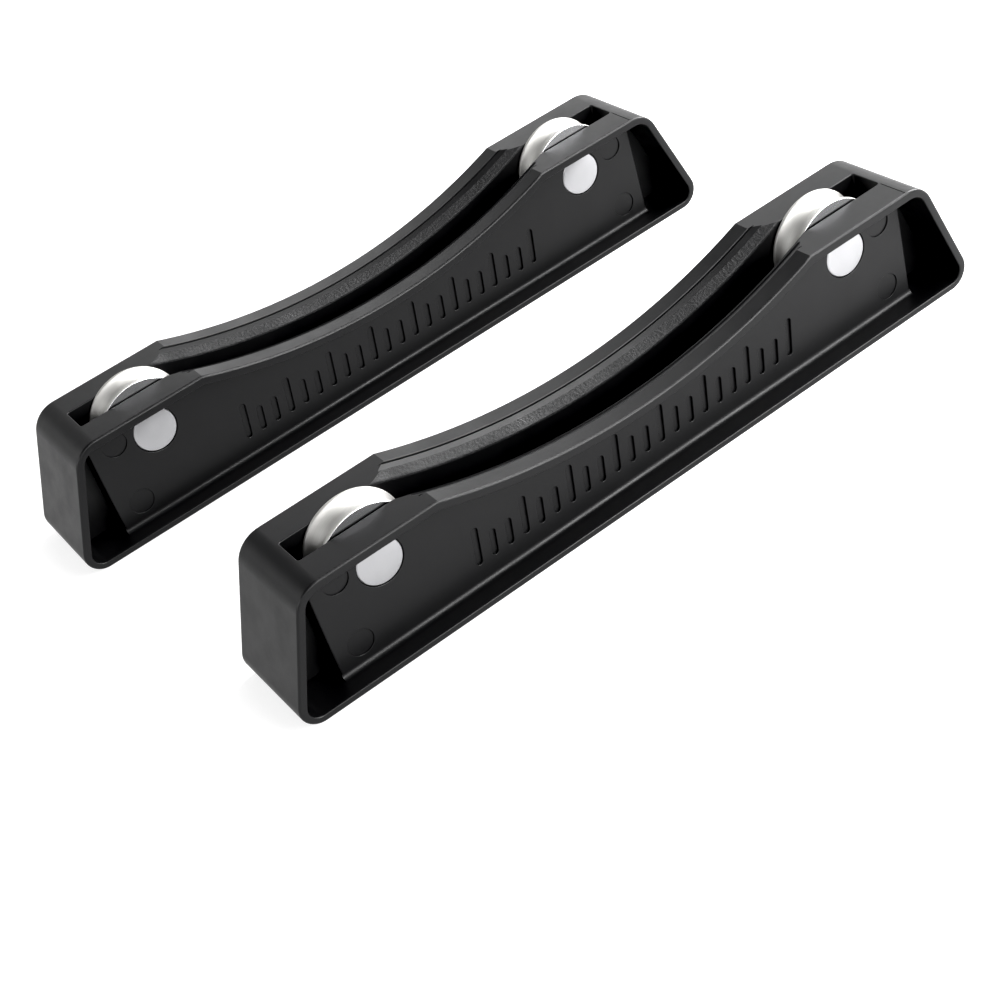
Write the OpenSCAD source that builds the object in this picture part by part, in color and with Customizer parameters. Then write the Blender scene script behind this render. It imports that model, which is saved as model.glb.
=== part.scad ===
// Spool holder stand: two moulded rails, each with two grooved ball-bearing
// wheels on turned axle pins. A spool's two rims roll in the wheels' grooves.
// Origin: middle of the pair, on the surface it stands on. +X runs along the
// rails, +Y from the front rail to the rear rail, +Z up.

/* [Rail] */
// Length of a rail at its foot, before the corners are rounded
rail_length = 160; // [150:1:180]
// Width of a rail
rail_width = 21.25; // [20.25:0.25:26.25]
// Height of a rail at its ends
rail_height = 26.4; // [26:0.1:28]
// How far an end wall leans in from foot to top
end_lean = 9.7; // [8:0.1:10.5]
// Radius of the corners at the foot
foot_round = 4; // [3:0.5:4.5]
// Radius of the corners at the top
top_round = 6; // [5:0.5:7]
// Thickness of the base plate
base_t = 1.4; // [1.2:0.1:2]
// Thickness of the top band
band_t = 1.9; // [1.6:0.1:2.2]
// Thickness of the sloped end walls
end_t = 1.65; // [1.4:0.05:2]
// Radius of the hollow along the top
saddle_r = 122.9; // [118:0.1:126]
// Height of the hollow's lowest point
saddle_low = 19; // [18:0.1:20]

/* [Trough] */
// Width of the slot that the wheels and the spool's rim run in
slot_w = 6.94; // [6.9:0.02:7.5]
// Length of the slot
slot_length = 131.8; // [128:0.1:133]
// Length of the trough, outside its end walls
trough_length = 135.4; // [135:0.1:138]
// Setback of the trough's side walls behind the rim
panel_recess = 4.77; // [4.5:0.01:5]
// Width of the lead-in along the hollow
funnel_w = 10.7; // [9:0.1:11]
// Depth of the lead-in
funnel_depth = 1.8; // [1.2:0.1:2]
// Width of the shallow step beside the lead-in
step_w = 13.4; // [12:0.1:14]
// Depth of that step
step_depth = 0.3; // [0.2:0.1:0.5]
// Thickness of the web that closes each end pocket at mid width
web_t = 1.8; // [1.2:0.1:2.4]
// Height of the sloped foot along a side wall
foot_bead = 1; // [0.6:0.1:1.4]

/* [Side pattern] */
// Number of slanted grooves sunk in the front side wall
bar_count = 22; // [4:1:24]
// Length of a long groove
bar_length = 7.8; // [6:0.2:8]
// Length of the short grooves between the long ones
short_length = 5.4; // [4:0.2:6]
// Width of a groove
bar_w = 1.3; // [0.8:0.1:1.8]
// Distance from groove to groove
bar_pitch = 3.5; // [2.5:0.1:3.6]
// Slant of a groove from upright
bar_slant = 8; // [0:1:15]
// Depth of a groove
bar_depth = 0.5; // [0.2:0.1:0.8]
// Diameter of the shallow ejector marks
mark_d = 5.2; // [4:0.1:5.4]
// Depth of the ejector marks
mark_depth = 0.25; // [0.1:0.05:0.4]

/* [Wheels] */
// Distance of a wheel's axis from the middle of its rail
wheel_x = 53.64; // [53:0.1:55]
// Height of the wheels' axes
axle_z = 18.55; // [18:0.05:19]
// Outside diameter of a wheel
wheel_d = 20; // [19:0.1:20.4]
// Width of a wheel
wheel_w = 6.5; // [6.3:0.05:6.6]
// Width of the groove
groove_w = 5.1; // [4.8:0.1:5.3]
// Depth of the groove
groove_depth = 1.6; // [1.2:0.1:1.7]

/* [Bearing] */
// Diameter of a ball
ball_d = 2.4; // [2.2:0.05:2.4]
// Number of balls in a wheel
ball_count = 9; // [7:1:11]
// Diameter of the circle through the balls' centres
pitch_d = 12.1; // [12:0.05:12.2]
// Outside diameter of the inner ring
inner_d = 10; // [9.6:0.1:10.2]
// Bore of the wheel's ring between its ball track and its faces
outer_bore = 14.2; // [14:0.1:14.4]
// Thickness of a dust shield
shield_t = 0.35; // [0.25:0.05:0.4]
// Running clearance on a ball's radius in its tracks
track_clear = 0.04; // [0.03:0.01:0.06]

/* [Axle pin] */
// Diameter of the round head
head_d = 9.2; // [8.6:0.1:9.4]
// Gap around the head
head_gap = 0.12; // [0.05:0.01:0.2]
// Diameter of the shank
shank_d = 6; // [5:0.1:6.4]
// Chamfer on the head's rim
head_chamfer = 0.35; // [0.2:0.05:0.5]

/* [Layout] */
// Distance between the middles of the two rails
rail_spacing = 72.3; // [40:0.1:100]
// How far the rear rail lies to the left of the front rail
rail_shift = 8.6; // [0:0.1:20]

/* [Hidden] */
$fn = 96;
ROUND_STEPS = 10;
eps = 0.01;
bite = 0.02;
black = [0.12, 0.12, 0.13];
steel = [0.80, 0.81, 0.82];
dull_steel = [0.62, 0.63, 0.64];
light_metal = [0.86, 0.86, 0.87];

half_length = rail_length / 2;
half_width = rail_width / 2;
lean_angle = atan(end_lean / rail_height);
saddle_z = saddle_low + saddle_r;
panel_y = half_width - panel_recess;
slot_y = slot_w / 2;
slot_x = slot_length / 2;
trough_x = trough_length / 2;
head_r = head_d / 2;
shank_r = shank_d / 2;
wheel_r = wheel_d / 2;
groove_r = (pow(groove_w / 2, 2) + pow(groove_depth, 2)) / (2 * groove_depth);
pitch_r = pitch_d / 2;
ball_r = ball_d / 2;
track_r = ball_r + track_clear;
shield_seat_r = outer_bore / 2 + 0.35;
shield_bore_r = inner_d / 2 + 0.25;
shield_y = wheel_w / 2 - shield_t - 0.2;
cage_t = 0.55;
cage_w = 3.1;
cage_clear = 0.08;
mark_x = 62.2;
mark_heights = [6.1, 20.4];
bars_z = 5.5;
long_every = 3;

RAILS = ["front", "rear"];
SIDES = ["left", "right"];
WHEEL_PARTS = [
    "wheel_ring", "inner_ring", "balls", "ball_cage",
    "shield_front", "shield_back", "axle"
];

// Points of an arc from angle a to angle b about (cx, cy)
function arc_points(cx, cy, r, a, b) =
    [for (i = [0 : ROUND_STEPS])
        let (t = a + (b - a) * i / ROUND_STEPS)
        [cx + r * cos(t), cy + r * sin(t)]];

function mirrored(points) =
    [for (i = [len(points) - 1 : -1 : 0]) [-points[i][0], points[i][1]]];

// Half width of the rail's side view at height z, moved in by t
function lean_x(z, t) = half_length - z * tan(lean_angle) - t / cos(lean_angle);

// One side of the rounded trapezium, from the foot up to the top
function outline_side(low, high, t, r_foot, r_top) =
    let (
        // Distance from a corner's point to where its rounding starts
        foot_run = r_foot / tan(45 - lean_angle / 2),
        top_run = r_top / tan(45 + lean_angle / 2)
    )
    concat(
        arc_points(lean_x(low, t) - foot_run, low + r_foot, r_foot, -90, lean_angle),
        arc_points(lean_x(high, t) - top_run, high - r_top, r_top, lean_angle, 90)
    );

// Side view between two heights, with the end walls moved in by t
module outline(low, high, t, r_foot, r_top) {
    side = outline_side(low, high, t, r_foot, r_top);
    polygon(concat(side, mirrored(side)));
}

module saddle(depth) {
    translate([0, saddle_z])
        circle(r = saddle_r + depth, $fn = 360);
}

module rail_outside() {
    difference() {
        outline(0, rail_height, 0, foot_round, top_round);
        saddle(0);
    }
}

module rail_inside() {
    difference() {
        outline(base_t, rail_height - band_t, end_t, foot_round - end_t, top_round - band_t - 1);
        saddle(band_t);
    }
}

// Extrudes a side view across the rail, from y0 to y1
module across(y0, y1) {
    translate([0, y1, 0])
        rotate([90, 0, 0])
            linear_extrude(y1 - y0)
                children();
}

module trough_block() {
    across(-panel_y, panel_y)
        intersection() {
            rail_outside();
            translate([-trough_x, base_t / 2])
                square([trough_length, rail_height]);
        }
}

module end_webs() {
    across(-web_t / 2, web_t / 2)
        rail_outside();
}

module band() {
    across(-half_width, half_width)
        difference() {
            rail_outside();
            rail_inside();
        }
}

// Sloped foot where a side wall stands on the base plate
module wall_foot() {
    translate([-trough_x, 0, base_t - eps])
        rotate([90, 0, 90])
            linear_extrude(trough_length)
                polygon([
                    [-panel_y - foot_bead, 0],
                    [panel_y + foot_bead, 0],
                    [panel_y, foot_bead],
                    [-panel_y, foot_bead]
                ]);
}

// Slot with upright walls, down to the base plate
module slot() {
    translate([-slot_x, -slot_y, base_t])
        cube([slot_length, slot_w, rail_height]);
}

// Lead-in that follows the hollow: a shallow step, then a slope down to the slot
module lead_in() {
    top = saddle_r - 8;
    translate([0, 0, saddle_z])
        rotate([90, 0, 0])
            rotate_extrude($fn = 360)
                polygon([
                    [top, -step_w / 2],
                    [saddle_r + step_depth, -step_w / 2],
                    [saddle_r + step_depth, -funnel_w / 2],
                    [saddle_r + funnel_depth, -slot_y],
                    [saddle_r + funnel_depth, slot_y],
                    [saddle_r + step_depth, funnel_w / 2],
                    [saddle_r + step_depth, step_w / 2],
                    [top, step_w / 2]
                ]);
}

module axle_holes() {
    for (s = [-1, 1])
        translate([s * wheel_x, 0, axle_z])
            rotate([90, 0, 0]) {
                cylinder(r = head_r + head_gap, h = panel_y + 1);
                translate([0, 0, -panel_y - 1])
                    cylinder(r = shank_r - bite, h = panel_y + 2);
            }
}

module ejector_marks() {
    for (s = [-1, 1], z = mark_heights)
        translate([s * mark_x, -panel_y + mark_depth, z])
            rotate([90, 0, 0])
                cylinder(d = mark_d, h = 1, $fn = 48);
}

// Slanted groove with round ends, standing on its lower end
module bar(length) {
    span = length - bar_w;
    rotate(-bar_slant)
        translate([0, bar_w / 2]) {
            translate([-bar_w / 2, 0])
                square([bar_w, span]);
            for (end = [0, span])
                translate([0, end])
                    circle(d = bar_w, $fn = 24);
        }
}

module side_pattern() {
    translate([0, -panel_y + bar_depth, bars_z])
        rotate([90, 0, 0])
            linear_extrude(1)
                for (i = [0 : bar_count - 1])
                    translate([(i - (bar_count - 1) / 2) * bar_pitch, 0])
                        bar(i % long_every == 0 ? bar_length : short_length);
}

module rail() {
    color(black)
        difference() {
            union() {
                band();
                trough_block();
                end_webs();
                wall_foot();
            }
            slot();
            lead_in();
            axle_holes();
            ejector_marks();
            side_pattern();
        }
}

// Ring of one section, turned about the wheel's own axis, which is Y
module turned() {
    rotate([90, 0, 0])
        rotate_extrude()
            children();
}

module ball_track() {
    translate([pitch_r, 0])
        circle(r = track_r, $fn = 64);
}

module wheel_ring() {
    color(steel)
        turned()
            difference() {
                translate([outer_bore / 2, -wheel_w / 2])
                    square([wheel_r - outer_bore / 2, wheel_w]);
                translate([wheel_r - groove_depth + groove_r, 0])
                    circle(r = groove_r, $fn = 96);
                ball_track();
                for (s = [-1, 1])
                    translate([0, s * (shield_y + wheel_w / 2)])
                        square([2 * shield_seat_r, wheel_w], center = true);
            }
}

module inner_ring() {
    color(dull_steel)
        turned()
            difference() {
                translate([shank_r, -wheel_w / 2])
                    square([inner_d / 2 - shank_r, wheel_w]);
                ball_track();
            }
}

module balls() {
    color(steel)
        for (i = [0 : ball_count - 1])
            rotate([0, i * 360 / ball_count, 0])
                translate([pitch_r, 0, 0])
                    sphere(r = ball_r, $fn = 48);
}

// Round pockets through the cage, one for each ball
module ball_pockets() {
    for (i = [0 : ball_count - 1])
        rotate([0, i * 360 / ball_count, 0])
            rotate([0, 90, 0])
                cylinder(r = ball_r + cage_clear, h = 2 * pitch_r, $fn = 48);
}

module ball_cage() {
    color(dull_steel)
        difference() {
            turned()
                translate([pitch_r - cage_t / 2, -cage_w / 2])
                    square([cage_t, cage_w]);
            ball_pockets();
        }
}

// Dust shield, side = -1 at the wheel's front face and 1 at its back
module shield(side) {
    color(dull_steel)
        translate([0, side * (shield_y + shield_t / 2), 0])
            turned()
                translate([shield_bore_r, -shield_t / 2])
                    square([shield_seat_r + bite - shield_bore_r, shield_t]);
}

// Headed pin: flush head in the front wall, shank through the wheel to the back wall
module axle() {
    head_length = panel_y - wheel_w / 2;
    color(light_metal)
        translate([0, -panel_y, 0])
            rotate([-90, 0, 0])
                rotate_extrude()
                    polygon([
                        [0, 0],
                        [head_r - head_chamfer, 0],
                        [head_r, head_chamfer],
                        [head_r, head_length],
                        [shank_r, head_length],
                        [shank_r, 2 * panel_y - head_chamfer],
                        [shank_r - head_chamfer, 2 * panel_y],
                        [0, 2 * panel_y]
                    ]);
}

module at_rail(rail_name) {
    s = rail_name == "front" ? -1 : 1;
    translate([-s * rail_shift / 2, s * rail_spacing / 2, 0])
        children();
}

module at_wheel(rail_name, side_name) {
    s = side_name == "left" ? -1 : 1;
    at_rail(rail_name)
        translate([s * wheel_x, 0, axle_z])
            children();
}

for (r = RAILS) {
    at_rail(r) rail();
    for (s = SIDES) {
        w = str(r, "_", s, "_");
        at_wheel(r, s) wheel_ring();
        at_wheel(r, s) inner_ring();
        at_wheel(r, s) balls();
        at_wheel(r, s) ball_cage();
        at_wheel(r, s) shield(-1);
        at_wheel(r, s) shield(1);
        at_wheel(r, s) axle();
    }
}
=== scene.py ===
"""Looks of the spool holder stand: two moulded rails with grooved ball-bearing wheels.

Lengths in this file are millimetres until mesh_object() turns them into metres.
Every piece is made about its own origin and then put where the frame says.
"""

import math

import bmesh
import bpy
from mathutils import Euler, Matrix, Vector


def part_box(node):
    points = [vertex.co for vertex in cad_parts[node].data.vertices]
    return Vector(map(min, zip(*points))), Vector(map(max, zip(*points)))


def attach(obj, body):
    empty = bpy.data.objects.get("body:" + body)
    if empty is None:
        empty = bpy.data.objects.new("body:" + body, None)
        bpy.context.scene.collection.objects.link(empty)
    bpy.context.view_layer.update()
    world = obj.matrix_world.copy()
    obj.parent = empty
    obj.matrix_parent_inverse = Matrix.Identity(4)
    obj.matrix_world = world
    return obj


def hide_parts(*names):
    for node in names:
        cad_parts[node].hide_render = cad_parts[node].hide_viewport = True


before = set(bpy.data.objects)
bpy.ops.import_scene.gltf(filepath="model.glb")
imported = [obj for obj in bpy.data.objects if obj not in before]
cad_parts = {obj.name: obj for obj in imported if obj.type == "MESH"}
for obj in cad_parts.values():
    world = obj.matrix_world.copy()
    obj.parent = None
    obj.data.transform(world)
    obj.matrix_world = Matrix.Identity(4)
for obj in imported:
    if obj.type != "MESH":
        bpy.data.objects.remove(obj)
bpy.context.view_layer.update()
scene = bpy.context.scene

# Metres in a millimetre
MM = 0.001
# Points closer than this become one, in millimetres
WELD = 0.001
# Places closer than this are the same, in metres
TOUCH = 1e-6

# Display: contrast of a studio cut-out
PHOTO_GAMMA = 0.76
PHOTO_BLACK = 0.01

# Camera: in front and to the left, 37 degrees up, with the frame tipped
CAMERA_PLACE = (-0.1243, -0.26799, 0.20295)
CAMERA_TURN = (51.245, 14.834, -35.344)
CAMERA_LENS = 64.54
CAMERA_SENSOR = 36
CAMERA_NEAR = 0.01

# Glow of the light table, painted light: brighter to the right like a pool of light from the
# right-hand softboxes, and lifting the shadows. Left and right strengths, and the x where each is
# reached
TABLE_GLOW = (0.80, 1.35, -0.06, 0.11)
TABLE_GREYS = (0.25, 0.27)
TABLE_ROUGHNESS = 0.9
TABLE_SHINE = 0.1
FLOOR_REACH = 40.0
# Strength of the surroundings overhead and at the horizon, and the heights between
SKY_GLOW = 0.24
HORIZON_GLOW = 0.9
HORIZON_HEIGHTS = (0.03, 0.12)

# Softboxes: name, place, width and height in metres, watts. All face the object.
SOFTBOX_AIM = (0.02, 0, 0.01)
SOFTBOXES = (
    ("near front right", (0.25, -0.42, 0.26), 0.34, 0.30, 3.4),
    ("near right", (0.36, 0.00, 0.20), 0.20, 0.20, 2.4),
    ("strip", (0.34, -0.32, 0.54), 0.42, 0.09, 0.95),
    ("front", (0.10, -1.00, 0.30), 0.60, 0.40, 4.2),
    ("front left", (-0.60, -0.80, 0.40), 0.60, 0.50, 2.0),
    ("left", (-1.00, 0.00, 0.40), 0.60, 0.50, 3.6),
    ("back left", (-0.80, 0.62, 0.40), 1.10, 0.50, 2.2),
    ("back", (0.00, 1.05, 0.45), 0.70, 0.50, 0.9),
    ("back right", (0.60, 0.85, 0.44), 0.90, 0.60, 4.3),
    ("high right", (0.50, 0.00, 0.85), 0.50, 0.50, 6.5),
)
RAILS = ("front", "rear")
SIDES = ("left", "right")

# Rail, side view
RAIL_LENGTH = 160.0
RAIL_WIDTH = 21.25
RAIL_HEIGHT = 26.4
END_LEAN = 9.7
FOOT_ROUND = 4.0
TOP_ROUND = 6.0
BASE_T = 1.4
BAND_T = 1.9
END_T = 1.65
SADDLE_R = 122.9
SADDLE_LOW = 19.0
SADDLE_Z = SADDLE_LOW + SADDLE_R
RIM_ROUND = 0.48
# Keeps the band's rims just inside the CAD's box
BAND_INSET = 0.002
SADDLE_STEPS = 48
CORNER_STEPS = 14

# Trough
SLOT_Y = 3.47
SLOT_X = 65.9
TROUGH_X = 67.7
TROUGH_ROUND = 0.4
PANEL_Y = RAIL_WIDTH / 2 - 4.77
LEAD_IN_Y = 5.35
LEAD_IN_DEPTH = 1.8
STEP_Y = 6.7
STEP_DEPTH = 0.3
FINE_STEP = 0.28
# The rough slope starts this far inside the lead-in's edge
SLOPE_INSET = 0.3
WEB_T = 1.8
BEAD = 1.0

# Side wall details
MARK_R = 2.6
MARK_DEPTH = 0.25
MARK_X = 62.2
MARK_HEIGHTS = (6.1, 20.4)
BAR_COUNT = 22
BAR_LONG_EVERY = 3
BAR_LONG = 7.8
BAR_SHORT = 5.4
BAR_W = 1.3
BAR_PITCH = 3.5
BAR_SLANT = math.radians(8)
BAR_DEPTH = 0.5
BAR_FOOT_Z = 5.5

# Wheels and axle pins
WHEEL_X = 53.64
AXLE_Z = 18.55
WHEEL_R = 10.0
WHEEL_HALF = 3.25
GROOVE_HALF = 2.55
GROOVE_DEPTH = 1.6
GROOVE_R = (GROOVE_HALF**2 + GROOVE_DEPTH**2) / (2 * GROOVE_DEPTH)
RING_BORE = 7.1
# Faces of the ring this close to its sides count as its flat faces
FLAT_BAND = 0.05
SEAT_R = 7.45
SEAT_Y = 2.7
PITCH_R = 6.05
TRACK_R = 1.24
SHIELD_BORE = 5.25
SHIELD_T = 0.35
HEAD_R = 4.6
HEAD_GAP = 0.06
HEAD_CHAMFER = 0.22
SHANK_R = 3.0

# Rounded mouths of the slot, holes, marks and slanted grooves
SLOT_MOUTH = 0.22
HEAD_MOUTH = 0.15
SHANK_MOUTH = 0.12
SHANK_GAP = 0.05
MARK_MOUTH = 0.1
BAR_MOUTH = 0.14

# Faces that meet at more than these degrees get a crease
RAIL_CREASE = 17
RING_CREASE = 32
SHIELD_CREASE = 40
PIN_CREASE = 22

# Darkest and lightest colour of the moulded plastic
PLASTIC_DARK = (0.0055, 0.0055, 0.0062)
PLASTIC_LIGHT = (0.0090, 0.0090, 0.0095)
PLASTIC_IOR = 1.52


# ---------------------------------------------------------------- mesh tools


def mesh_object(name, points, faces, material=None):
    """A mesh object from points in millimetres."""
    mesh = bpy.data.meshes.new(name)
    mesh.from_pydata([[c * MM for c in p] for p in points], [], faces)
    mesh.validate()
    work = bmesh.new()
    work.from_mesh(mesh)
    bmesh.ops.recalc_face_normals(work, faces=work.faces)
    work.to_mesh(mesh)
    work.free()
    obj = bpy.data.objects.new(name, mesh)
    scene.collection.objects.link(obj)
    if material:
        mesh.materials.append(material)
    return obj


def loft(name, loops, closed=False, material=None):
    """Skin over loops of equal length. Open ends get a cap; closed joins last to first."""
    n = len(loops[0])
    count = len(loops)
    faces = []
    for i in range(count if closed else count - 1):
        a, b = i * n, (i + 1) % count * n
        faces += [(a + j, a + (j + 1) % n, b + (j + 1) % n, b + j) for j in range(n)]
    if not closed:
        faces.append(tuple(reversed(range(n))))
        faces.append(tuple(range((count - 1) * n, count * n)))
    return mesh_object(name, [p for loop in loops for p in loop], faces, material)


def arc(cx, cy, radius, start, end, steps):
    """Points of an arc in degrees, both ends included."""
    turns = [math.radians(start + (end - start) * i / steps) for i in range(steps + 1)]
    return [(cx + radius * math.cos(t), cy + radius * math.sin(t)) for t in turns]


def lathe(name, profile, steps=128, material=None):
    """Turns a closed profile of (radius, y) about the Y axis."""
    loops = []
    for i in range(steps):
        a = 2 * math.pi * i / steps
        loops.append([(r * math.cos(a), y, r * math.sin(a)) for r, y in profile])
    return loft(name, loops, closed=True, material=material)


def solid_lathe(name, profile, steps=96, material=None):
    """Turns an open profile of (radius, y) about the Y axis; its ends are capped flat."""
    loops = []
    for r, y in profile:
        ring = [2 * math.pi * i / steps for i in range(steps)]
        loops.append([(r * math.cos(a), y, r * math.sin(a)) for a in ring])
    return loft(name, loops, material=material)


def combine(obj, tool, operation):
    """Adds or cuts one closed mesh with another, and removes the tool."""
    step = obj.modifiers.new("combine", "BOOLEAN")
    step.operation = operation
    step.solver = "EXACT"
    step.material_mode = "TRANSFER"
    step.object = tool
    apply_modifiers(obj)
    bpy.data.objects.remove(tool)


def apply_modifiers(obj):
    """Replaces the mesh by its evaluated form."""
    graph = bpy.context.evaluated_depsgraph_get()
    graph.update()
    mesh = bpy.data.meshes.new_from_object(obj.evaluated_get(graph))
    obj.modifiers.clear()
    obj.data = mesh


def join(name, parts):
    """One object from several meshes that don't touch."""
    work = bmesh.new()
    for part in parts:
        work.from_mesh(part.data)
    mesh = bpy.data.meshes.new(name)
    for material in parts[0].data.materials:
        mesh.materials.append(material)
    work.to_mesh(mesh)
    work.free()
    obj = bpy.data.objects.new(name, mesh)
    scene.collection.objects.link(obj)
    for part in parts:
        bpy.data.objects.remove(part)
    return obj


def close_gaps(obj):
    """Welds the slivers that booleans leave and fills what stays open."""
    work = bmesh.new()
    work.from_mesh(obj.data)
    bmesh.ops.remove_doubles(work, verts=work.verts, dist=WELD * MM)
    open_edges = [edge for edge in work.edges if edge.is_boundary]
    bmesh.ops.holes_fill(work, edges=open_edges, sides=0)
    work.to_mesh(obj.data)
    work.free()


def smooth(obj, sharp_degrees):
    """Smooth shading, with creases where faces meet at more than sharp_degrees."""
    work = bmesh.new()
    work.from_mesh(obj.data)
    for face in work.faces:
        face.smooth = True
    limit = math.radians(sharp_degrees)
    for edge in work.edges:
        if len(edge.link_faces) == 2:
            edge.smooth = edge.calc_face_angle(0) < limit
    work.to_mesh(obj.data)
    work.free()
    weighted = obj.modifiers.new("weighted normals", "WEIGHTED_NORMAL")
    weighted.keep_sharp = True
    weighted.weight = 80
    apply_modifiers(obj)


# ---------------------------------------------------------------- materials


def new_material(name):
    """An empty node material with its shader: (material, nodes, links, shader)."""
    material = bpy.data.materials.new(name)
    material.use_nodes = True
    nodes = material.node_tree.nodes
    return material, nodes, material.node_tree.links, nodes["Principled BSDF"]


def noise(nodes, links, vector, scale, detail=3.0, roughness=0.5):
    """A noise texture's fac output, at a scale in waves per metre."""
    texture = nodes.new("ShaderNodeTexNoise")
    texture.inputs["Scale"].default_value = scale
    texture.inputs["Detail"].default_value = detail
    texture.inputs["Roughness"].default_value = roughness
    links.new(vector, texture.inputs["Vector"])
    return texture.outputs["Fac"]


def spread(nodes, links, value, low, high, from_low=0.3, from_high=0.7):
    """Maps a value's middle range onto low to high."""
    node = nodes.new("ShaderNodeMapRange")
    node.inputs["From Min"].default_value = from_low
    node.inputs["From Max"].default_value = from_high
    node.inputs["To Min"].default_value = low
    node.inputs["To Max"].default_value = high
    links.new(value, node.inputs["Value"])
    return node.outputs["Result"]


def bump(nodes, links, height, distance, strength=1.0, under=None):
    """A bump layer, distance in metres, laid over an earlier one."""
    node = nodes.new("ShaderNodeBump")
    node.inputs["Distance"].default_value = distance
    node.inputs["Strength"].default_value = strength
    links.new(height, node.inputs["Height"])
    if under is not None:
        links.new(under, node.inputs["Normal"])
    return node.outputs["Normal"]


def blend_colours(nodes, links, fac, dark, light):
    """A colour between two, by a 0 to 1 value."""
    node = nodes.new("ShaderNodeMix")
    node.data_type = "RGBA"
    node.inputs["A"].default_value = (*dark, 1)
    node.inputs["B"].default_value = (*light, 1)
    links.new(fac, node.inputs["Factor"])
    return node.outputs["Result"]


def object_position(nodes):
    """A point's place on its own piece, which the piece carries along as it moves."""
    return nodes.new("ShaderNodeTexCoord").outputs["Object"]


def moulded_plastic(name, rough_low, rough_high, grain, mottle, mottle_scale):
    """Black injection-moulded plastic: fine grain, faint waves, cloudy gloss.

    grain and mottle are bump heights in metres, mottle_scale is in waves per metre.
    """
    material, nodes, links, shader = new_material(name)
    place = object_position(nodes)
    cloud = noise(nodes, links, place, 55, 4)
    tint = blend_colours(nodes, links, cloud, PLASTIC_DARK, PLASTIC_LIGHT)
    links.new(tint, shader.inputs["Base Color"])
    gloss = noise(nodes, links, place, 160, 5, 0.6)
    links.new(spread(nodes, links, gloss, rough_low, rough_high), shader.inputs["Roughness"])
    waves = bump(nodes, links, noise(nodes, links, place, 90, 2), 0.00012, 0.35)
    lumps = bump(nodes, links, noise(nodes, links, place, mottle_scale, 2), mottle, 0.8, waves)
    fine = bump(nodes, links, noise(nodes, links, place, 5200, 2), grain, 0.5, lumps)
    links.new(fine, shader.inputs["Normal"])
    shader.inputs["IOR"].default_value = PLASTIC_IOR
    return material


def rings(nodes, links, place, per_metre):
    """Lathe marks: noise that changes only with the distance from the Y axis and along it."""
    split = nodes.new("ShaderNodeSeparateXYZ")
    links.new(place, split.inputs["Vector"])
    flat = nodes.new("ShaderNodeCombineXYZ")
    links.new(split.outputs["X"], flat.inputs["X"])
    links.new(split.outputs["Z"], flat.inputs["Y"])
    length = nodes.new("ShaderNodeVectorMath")
    length.operation = "LENGTH"
    links.new(flat.outputs["Vector"], length.inputs[0])
    pair = nodes.new("ShaderNodeCombineXYZ")
    links.new(length.outputs["Value"], pair.inputs["X"])
    links.new(split.outputs["Y"], pair.inputs["Y"])
    return noise(nodes, links, pair.outputs["Vector"], per_metre, 2)


def turned_metal(name, colour, rough_low, rough_high, ring_depth):
    """Ground or turned metal with fine marks round the Y axis, ring_depth in metres."""
    material, nodes, links, shader = new_material(name)
    place = object_position(nodes)
    cloud = noise(nodes, links, place, 300, 3)
    darker = tuple(c * 0.93 for c in colour)
    links.new(blend_colours(nodes, links, cloud, darker, colour), shader.inputs["Base Color"])
    marks = rings(nodes, links, place, 7000)
    links.new(spread(nodes, links, marks, rough_low, rough_high), shader.inputs["Roughness"])
    links.new(bump(nodes, links, marks, ring_depth, 0.6), shader.inputs["Normal"])
    shader.inputs["Metallic"].default_value = 1.0
    return material


def pressed_metal(name, colour, roughness):
    """Thin pressed steel with a slightly uneven finish."""
    material, nodes, links, shader = new_material(name)
    place = object_position(nodes)
    cloud = noise(nodes, links, place, 700, 4)
    darker = tuple(c * 0.85 for c in colour)
    links.new(blend_colours(nodes, links, cloud, darker, colour), shader.inputs["Base Color"])
    gloss = spread(nodes, links, cloud, roughness - 0.06, roughness + 0.06)
    links.new(gloss, shader.inputs["Roughness"])
    grain = noise(nodes, links, place, 2500, 2)
    links.new(bump(nodes, links, grain, 0.00002, 0.4), shader.inputs["Normal"])
    shader.inputs["Metallic"].default_value = 1.0
    return material


# Roughness low and high, grain, mottle, mottle's waves per metre
plastic = moulded_plastic("rail plastic", 0.34, 0.44, 0.000012, 0.000004, 900)
lead_in_plastic = moulded_plastic("lead-in plastic", 0.46, 0.66, 0.00005, 0.00017, 1700)
# Colour, roughness low and high, height of the marks; pressed metal has one roughness
groove_steel = turned_metal("groove steel", (0.55, 0.545, 0.533), 0.56, 0.68, 0.0000015)
ground_steel = turned_metal("ground steel", (0.62, 0.62, 0.63), 0.18, 0.28, 0.000005)
ball_steel = turned_metal("ball steel", (0.80, 0.80, 0.81), 0.05, 0.09, 0.000001)
cage_steel = pressed_metal("cage steel", (0.56, 0.55, 0.52), 0.35)
# The shields' dark steel colour is painted shade: it stands for the shadow in the gap between the
# wheel's front rim and the slot wall
shade_painted_shield_steel = pressed_metal("shade-painted shield steel", (0.22, 0.22, 0.23), 0.42)
pin_metal = turned_metal("pin metal", (0.49, 0.49, 0.50), 0.30, 0.42, 0.000006)


# ---------------------------------------------------------------- rail


LEAN = math.atan2(END_LEAN, RAIL_HEIGHT)
LEAN_DEG = math.degrees(LEAN)


def saddle(top):
    """The hollow's arc from right to left, moved down into the rail by top."""
    radius, high = SADDLE_R + top, RAIL_HEIGHT - top
    kink = math.degrees(math.acos((SADDLE_Z - high) / radius))
    return arc(0, SADDLE_Z, radius, -90 + kink, -90 - kink, SADDLE_STEPS)


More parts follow.
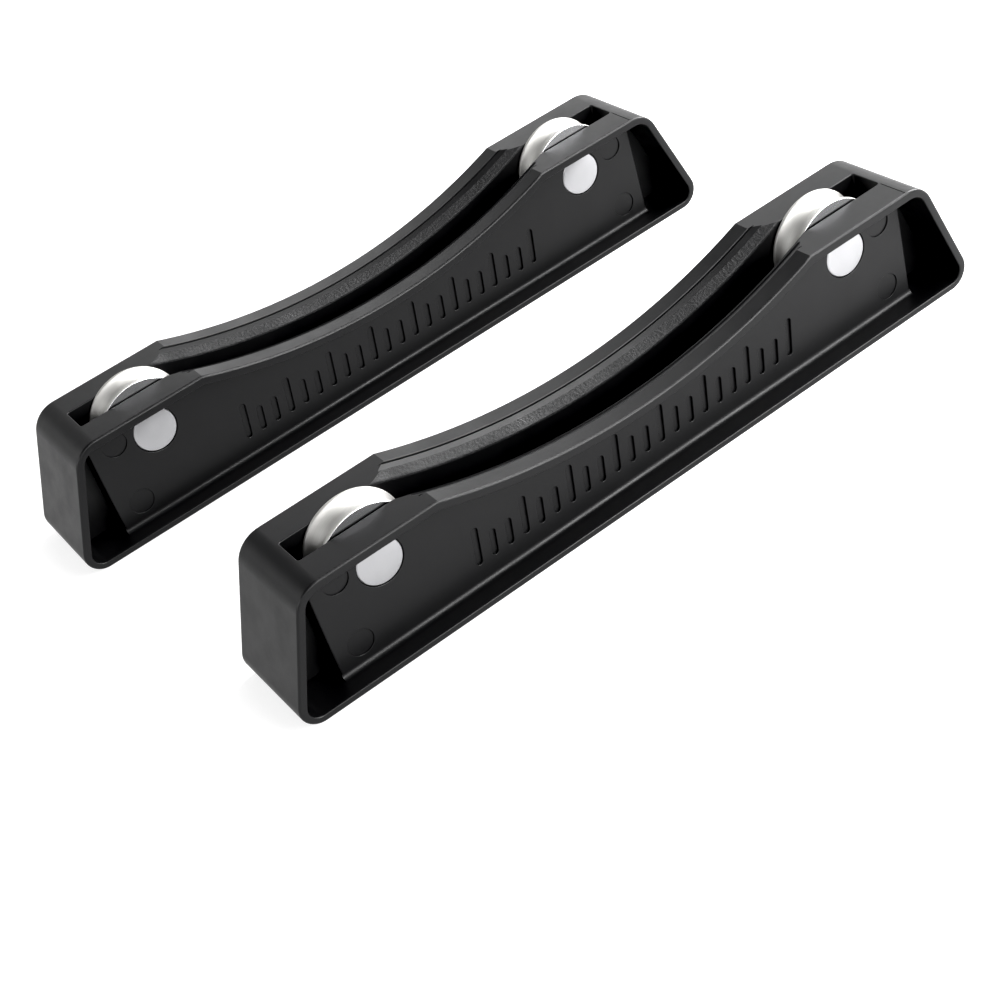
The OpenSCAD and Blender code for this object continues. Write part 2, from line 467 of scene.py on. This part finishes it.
def side_view(base, end, top):
    """The rail's outline in x and z, moved in by base, end and top.

    The number of points is always the same, so two outlines can be skinned together.
    """
    foot_r = FOOT_ROUND - end
    top_r = max(TOP_ROUND - 1.4 * top, 2.0)
    low, high = base, RAIL_HEIGHT - top

    def corner_x(z):
        return RAIL_LENGTH / 2 - z * math.tan(LEAN) - end / math.cos(LEAN)

    foot_run = foot_r / math.tan(math.radians(45) - LEAN / 2)
    top_run = top_r / math.tan(math.radians(45) + LEAN / 2)
    foot_x = corner_x(low) - foot_run
    top_x = corner_x(high) - top_run
    right = arc(foot_x, low + foot_r, foot_r, -90, LEAN_DEG, CORNER_STEPS)
    right += arc(top_x, high - top_r, top_r, LEAN_DEG, 90, CORNER_STEPS)
    left = [(-x, z) for x, z in reversed(right)]
    return right + saddle(top) + left


def band(material):
    """Closed band round the rail, with rounded rims."""
    outer = side_view(0, 0, 0)
    inner = side_view(BASE_T, END_T, BAND_T)
    half = RAIL_WIDTH / 2 - BAND_INSET
    depth = (BASE_T + END_T + BAND_T) / 3
    r = RIM_ROUND
    rims = arc(half - r, r, r, -90, 0, 6) + arc(half - 0.6 * r, depth - 0.6 * r, 0.6 * r, 0, 90, 4)
    section = rims + [(-y, d) for y, d in reversed(rims)]
    loops = []
    for y, d in section:
        s = d / depth
        pairs = zip(outer, inner)
        loops.append([(ox + (ix - ox) * s, y, oz + (iz - oz) * s) for (ox, oz), (ix, iz) in pairs])
    return loft("band", loops, closed=True, material=material)


def plate(name, outline, y0, y1, material=None):
    """A flat plate with that side view, from y0 to y1."""
    return loft(name, [[(x, y, z) for x, z in outline] for y in (y0, y1)], material=material)


def trough_block(material):
    """The trough's walls, still solid inside, with rounded upright corners."""
    top = BAND_T / 2
    low, high = BASE_T / 2, RAIL_HEIGHT - top
    outline = [(-TROUGH_X, low), (TROUGH_X, low), (TROUGH_X, high)]
    outline += saddle(top)
    outline += [(-TROUGH_X, high)]
    block = plate("trough", outline, -PANEL_Y, PANEL_Y, material)
    work = bmesh.new()
    work.from_mesh(block.data)
    ends = [
        e
        for e in work.edges
        if all(abs(abs(v.co.x) - TROUGH_X * MM) < TOUCH for v in e.verts)
        and abs(e.verts[0].co.y - e.verts[1].co.y) < TOUCH
    ]
    bevel = {"offset": TROUGH_ROUND * MM, "segments": 4, "profile": 0.5, "affect": "EDGES"}
    bmesh.ops.bevel(work, geom=ends, **bevel)
    work.to_mesh(block.data)
    work.free()
    return block


def bead(material):
    """Hollow-faced foot along both sides of the trough."""
    y = PANEL_Y + BEAD
    right = arc(y, BASE_T + BEAD, BEAD, -90, -180, 6)
    section = [(-y, BASE_T - 0.5), (y, BASE_T - 0.5)]
    section += right + [(-a, b) for a, b in reversed(right)]
    x = TROUGH_X - 0.03
    return loft("bead", [[(s * x, a, b) for a, b in section] for s in (-1, 1)], material=material)


def rounded_box_loop(half_x, half_y, grow, z, corner=0.5):
    """A rectangle with rounded corners, grown outwards by grow."""
    loop = []
    for sx, sy, start in ((1, 1, 0), (-1, 1, 90), (-1, -1, 180), (1, -1, 270)):
        cx, cy = sx * (half_x - corner), sy * (half_y - corner)
        loop += [(x, y, z) for x, y in arc(cx, cy, corner + grow, start, start + 90, 5)]
    return loop


def flare(radius, steps=5):
    """(growth, depth) pairs of a rounded mouth, from its lower end up to the face."""
    turns = [math.radians(90 * i / steps) for i in range(steps + 1)]
    return [(radius * (1 - math.cos(t)), radius * (1 - math.sin(t))) for t in turns]


def slot_cutter(material):
    """Slot with upright walls and a softly rounded mouth in the flat top."""
    loops = [rounded_box_loop(SLOT_X, SLOT_Y, 0, BASE_T)]
    for grow, depth in flare(SLOT_MOUTH):
        loops.append(rounded_box_loop(SLOT_X, SLOT_Y, grow, RAIL_HEIGHT - depth))
    loops.append(rounded_box_loop(SLOT_X, SLOT_Y, SLOT_MOUTH, RAIL_HEIGHT + 4))
    return loft("slot cutter", loops, material=material)


def lead_in_cutter(lip_material, slope_material):
    """Swept along the hollow: two fine steps, then a rough slope down into the slot."""
    half = [(STEP_Y + 0.1, -6), (STEP_Y + 0.1, 0), (STEP_Y + 0.02, 0.1)]
    half += fine_step(STEP_Y, STEP_DEPTH)
    half += fine_step(LEAD_IN_Y, STEP_DEPTH + FINE_STEP)
    half += [(SLOT_Y + 0.22, LEAD_IN_DEPTH - 0.2), (SLOT_Y + 0.07, LEAD_IN_DEPTH)]
    half += [(SLOT_Y + 0.005, LEAD_IN_DEPTH + 0.3), (SLOT_Y - 0.2, LEAD_IN_DEPTH + 0.6)]
    half += [(SLOT_Y - 0.4, LEAD_IN_DEPTH + 1.6)]
    section = half + [(-y, d) for y, d in reversed(half)]
    reach, steps = 26, 60
    loops = []
    for i in range(steps + 1):
        t = math.radians(-90 - reach + 2 * reach * i / steps)
        loops.append(
            [
                ((SADDLE_R + d) * math.cos(t), y, SADDLE_Z + (SADDLE_R + d) * math.sin(t))
                for y, d in section
            ]
        )
    cutter = loft("lead-in cutter", loops, material=lip_material)
    cutter.data.materials.append(slope_material)
    for face in cutter.data.polygons:
        face.material_index = int(abs(face.center.y) < (LEAD_IN_Y - SLOPE_INSET) * MM)
    return cutter


def fine_step(y, depth):
    """A low step down at y to depth, with a hairline gap at its foot."""
    return [(y, depth + 0.2), (y - 0.17, depth + 0.2), (y - 0.22, depth)]


def drill(name, x, z, radius, y_from, y_to, mouth, material, steps=64):
    """A round cutter from y_from, in the face, to y_to, with a rounded mouth at the face."""
    sign = 1 if y_to > y_from else -1
    profile = [(radius + mouth, y_from - sign)]
    for grow, depth in reversed(flare(mouth)):
        profile.append((radius + grow, y_from + sign * depth))
    profile.append((radius, y_to))
    tool = solid_lathe(name, profile, steps, material)
    for v in tool.data.vertices:
        v.co += Vector((x, 0, z)) * MM
    return tool


def wall_cutters(material):
    """Axle holes, ejector marks and the row of slanted grooves in the front wall."""
    parts = []
    for s in (-1, 1):
        x = s * WHEEL_X
        hole = HEAD_R + HEAD_GAP
        parts.append(drill("head hole", x, AXLE_Z, hole, -PANEL_Y, -2, HEAD_MOUTH, material, 96))
        bore = SHANK_R + SHANK_GAP
        parts.append(drill("shank hole", x, AXLE_Z, bore, PANEL_Y, 2, SHANK_MOUTH, material, 72))
        for z in MARK_HEIGHTS:
            floor = -PANEL_Y + MARK_DEPTH
            mark_x = s * MARK_X
            parts.append(drill("mark", mark_x, z, MARK_R, -PANEL_Y, floor, MARK_MOUTH, material))
    parts.append(crease_cutter(material))
    for i in range(BAR_COUNT):
        length = BAR_LONG if i % BAR_LONG_EVERY == 0 else BAR_SHORT
        parts.append(groove_cutter((i - (BAR_COUNT - 1) / 2) * BAR_PITCH, length, material))
    return join("wall cutters", parts)


def crease_cutter(material):
    """Hairline across the front land, from the slot's right end to the front edge."""
    x, z = SLOT_X + 0.15, RAIL_HEIGHT
    section = [(x - 0.09, z + 0.3), (x - 0.09, z), (x, z - 0.16), (x + 0.09, z), (x + 0.09, z + 0.3)]
    ends = (-RAIL_WIDTH / 2 + RIM_ROUND, -SLOT_Y - 0.35)
    return loft("crease", [[(a, y, b) for a, b in section] for y in ends], material=material)


def groove_cutter(x, length, material):
    """One slanted groove with round ends and a rounded mouth."""
    r = BAR_W / 2
    lean = Vector((math.sin(BAR_SLANT), math.cos(BAR_SLANT)))
    loops = []
    depths = [(0, BAR_DEPTH)] + flare(BAR_MOUTH) + [(BAR_MOUTH, -1)]
    for grow, depth in depths:
        end = arc(0, length - r, r + grow, 0, 180, 10) + arc(0, r, r + grow, 180, 360, 10)
        loop = []
        for a, b in end:
            u = x + a * lean.y + b * lean.x
            v = BAR_FOOT_Z - a * lean.x + b * lean.y
            loop.append((u, -PANEL_Y + depth, v))
        loops.append(loop)
    return loft("groove", loops, material=material)


def rail_shell():
    """The whole moulding about its own origin, at the middle of its foot."""
    rail = band(plastic)
    rail.name = "rail_shell"
    for part in (
        trough_block(plastic),
        plate("webs", side_view(BASE_T / 2, END_T / 2, BAND_T / 2), -WEB_T / 2, WEB_T / 2, plastic),
        bead(plastic),
    ):
        combine(rail, part, "UNION")
    combine(rail, slot_cutter(plastic), "DIFFERENCE")
    combine(rail, lead_in_cutter(plastic, lead_in_plastic), "DIFFERENCE")
    combine(rail, wall_cutters(plastic), "DIFFERENCE")
    close_gaps(rail)
    smooth(rail, RAIL_CREASE)
    return rail


# ---------------------------------------------------------------- wheel and pin


def wheel_ring():
    """Outer ring: grooved outside, ball track inside, a step for a shield in each face.

    Its two flat faces have the finer ground finish, the rest the groove's.
    """
    groove = math.degrees(math.asin(GROOVE_HALF / GROOVE_R))
    centre = WHEEL_R - GROOVE_DEPTH + GROOVE_R
    lip, edge = 0.12, 0.22
    outside = arc(WHEEL_R - edge, WHEEL_HALF - edge, edge, 90, 0, 5)
    outside += [(WHEEL_R, GROOVE_HALF + lip), (WHEEL_R - 0.03, GROOVE_HALF + 0.02)]
    groove_line = arc(centre, 0, GROOVE_R, 180 - groove + 2.5, 180 + groove - 2.5, 28)
    track = math.degrees(math.acos((RING_BORE - PITCH_R) / TRACK_R))
    half = [(RING_BORE, SEAT_Y), (SEAT_R, SEAT_Y), (SEAT_R, WHEEL_HALF - 0.1)]
    half += [(SEAT_R + 0.1, WHEEL_HALF)] + outside
    track_line = arc(PITCH_R, 0, TRACK_R, -track, track, 10)
    profile = half + groove_line + [(r, -y) for r, y in reversed(half)] + track_line
    ring = lathe("ring", profile, 160, groove_steel)
    ring.data.materials.append(ground_steel)
    for face in ring.data.polygons:
        if abs(face.center.y) > (WHEEL_HALF - FLAT_BAND) * MM:
            face.material_index = 1
    smooth(ring, RING_CREASE)
    return ring


def shield(side):
    """Dished dust shield with a rolled rim; side is -1 at the front face and 1 at the back."""
    y = SEAT_Y + 0.02
    t = SHIELD_T
    line = [(SHIELD_BORE, y + 0.02), (SHIELD_BORE, y + t - 0.06), (SHIELD_BORE + 0.06, y + t)]
    line += [(5.75, y + t), (6.0, y + t - 0.14), (6.8, y + t - 0.14), (7.05, y + t)]
    line += [(SEAT_R - 0.06, y + t), (SEAT_R, y + t - 0.06), (SEAT_R, y), (7.05, y)]
    line += [(6.8, y), (6.0, y), (5.6, y)]
    # The shield's steel is painted dark, as painted shade for the shadowed gap beside the wheel
    piece = lathe("shield", [(r, side * h) for r, h in line], 128, shade_painted_shield_steel)
    smooth(piece, SHIELD_CREASE)
    return piece


def axle_pin():
    """Headed pin with a chamfered head, its outer face flush with the front wall."""
    c = HEAD_CHAMFER
    face = -PANEL_Y
    step = -WHEEL_HALF
    profile = [(0.05, face + 0.03), (1.2, face + 0.02), (HEAD_R - c - 0.1, face)]
    profile += [(HEAD_R - c, face + 0.03), (HEAD_R - 0.04, face + c - 0.04)]
    profile += [(HEAD_R, face + c + 0.05), (HEAD_R, step - 0.1), (HEAD_R - 0.1, step)]
    profile += [(SHANK_R + 0.15, step), (SHANK_R, step + 0.1), (SHANK_R, PANEL_Y - 0.3)]
    profile += [(SHANK_R - 0.3, PANEL_Y), (0.05, PANEL_Y)]
    pin = solid_lathe("pin", profile, 128, pin_metal)
    smooth(pin, PIN_CREASE)
    return pin


# ---------------------------------------------------------------- assembly


def copy_of(source, name, place):
    """A separate copy with its origin at place, in metres."""
    obj = bpy.data.objects.new(name, source.data.copy())
    obj.location = place
    scene.collection.objects.link(obj)
    return obj


def middle(node):
    """The middle of a CAD node's box, in metres."""
    low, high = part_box(node)
    return (low + high) / 2


def paint(node, material):
    """Gives a CAD node its final material."""
    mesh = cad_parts[node].data
    mesh.materials.clear()
    mesh.materials.append(material)


def place_piece(source, name, place, body, node):
    """A copy of source at place that rides on body and stands for the CAD node."""
    piece = copy_of(source, name, place)
    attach(piece, body)
    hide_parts(node)


def assemble():
    """Puts every piece where the frame says, and finishes the CAD nodes that stay."""
    rail, ring, pin = rail_shell(), wheel_ring(), axle_pin()
    shields = {"front": shield(-1), "back": shield(1)}
    for row in RAILS:
        body = f"{row}_rail"
        low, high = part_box(body)
        foot = Vector(((low.x + high.x) / 2, (low.y + high.y) / 2, low.z))
        place_piece(rail, f"{row}_rail_shell", foot, body, body)
        for side in SIDES:
            wheel = f"{row}_{side}"
            hub = middle(f"{wheel}_wheel_ring")
            spinner = f"{wheel}_wheel"
            place_piece(
                ring, f"{wheel}_grooved_ring", hub, spinner, f"{wheel}_wheel_ring"
            )
            for face, piece in shields.items():
                node = f"{wheel}_shield_{face}"
                place_piece(piece, f"{wheel}_dished_shield_{face}", hub, spinner, node)
            place_piece(pin, f"{wheel}_turned_pin", hub, body, f"{wheel}_axle")
            paint(f"{wheel}_inner_ring", ground_steel)
            paint(f"{wheel}_balls", ball_steel)
            paint(f"{wheel}_ball_cage", cage_steel)
    for source in (rail, ring, pin, *shields.values()):
        bpy.data.objects.remove(source)


# ---------------------------------------------------------------- studio


def studio_floor():
    """A pale light table whose glow is painted light, stronger to the right as a pool of light and
    softening the shadows; wide enough for its edge to vanish at low angles.
    """
    size = FLOOR_REACH / MM
    corners = [(-size, -size, 0), (size, -size, 0), (size, size, 0), (-size, size, 0)]
    floor = mesh_object("studio_floor", corners, [(0, 1, 2, 3)])
    material, nodes, links, shader = new_material("studio table with painted glow")
    tone = noise(nodes, links, object_position(nodes), 9, 2)
    dark, light = ([grey] * 3 for grey in TABLE_GREYS)
    links.new(blend_colours(nodes, links, tone, dark, light), shader.inputs["Base Color"])
    shader.inputs["Emission Color"].default_value = (1, 1, 1, 1)
    split = nodes.new("ShaderNodeSeparateXYZ")
    links.new(object_position(nodes), split.inputs["Vector"])
    # Painted light: the floor glows brighter to the right, a pool of light standing in for the
    # right-hand lamps
    glow = spread(nodes, links, split.outputs["X"], *TABLE_GLOW)
    links.new(glow, shader.inputs["Emission Strength"])
    shader.inputs["Roughness"].default_value = TABLE_ROUGHNESS
    shader.inputs["Specular IOR Level"].default_value = TABLE_SHINE
    floor.data.materials.append(material)


def sky():
    """Faint even fill, with a pale wall low at the horizon."""
    world = bpy.data.worlds.new("studio")
    scene.world = world
    world.use_nodes = True
    nodes, links = world.node_tree.nodes, world.node_tree.links
    split = nodes.new("ShaderNodeSeparateXYZ")
    links.new(nodes.new("ShaderNodeTexCoord").outputs["Generated"], split.inputs["Vector"])
    up = split.outputs["Z"]
    glow = spread(nodes, links, up, HORIZON_GLOW, SKY_GLOW, *HORIZON_HEIGHTS)
    links.new(glow, nodes["Background"].inputs["Strength"])
    nodes["Background"].inputs["Color"].default_value = (1, 1, 1, 1)


def softbox(name, place, width, height, watts):
    """One rectangular area light, turned to the object."""
    data = bpy.data.lights.new(name, "AREA")
    data.shape = "RECTANGLE"
    data.size, data.size_y = width, height
    data.energy = watts
    light = bpy.data.objects.new(name, data)
    light.location = place
    towards = Vector(SOFTBOX_AIM) - Vector(place)
    light.rotation_euler = towards.to_track_quat("-Z", "Y").to_euler()
    scene.collection.objects.link(light)


def photo_contrast():
    """Plain display colours, with the deep contrast of a studio cut-out."""
    view = scene.view_settings
    view.view_transform = "Standard"
    view.gamma = PHOTO_GAMMA
    view.use_curve_mapping = True
    view.curve_mapping.black_level = [PHOTO_BLACK] * 3
    view.curve_mapping.update()


def camera():
    """The photograph's viewpoint."""
    data = bpy.data.cameras.new("camera")
    data.lens = CAMERA_LENS
    data.sensor_width = CAMERA_SENSOR
    data.clip_start = CAMERA_NEAR
    view = bpy.data.objects.new("camera", data)
    view.location = CAMERA_PLACE
    view.rotation_euler = Euler([math.radians(a) for a in CAMERA_TURN], "XYZ")
    scene.collection.objects.link(view)
    scene.camera = view


camera()
studio_floor()
sky()
for softbox_row in SOFTBOXES:
    softbox(*softbox_row)
photo_contrast()
assemble()
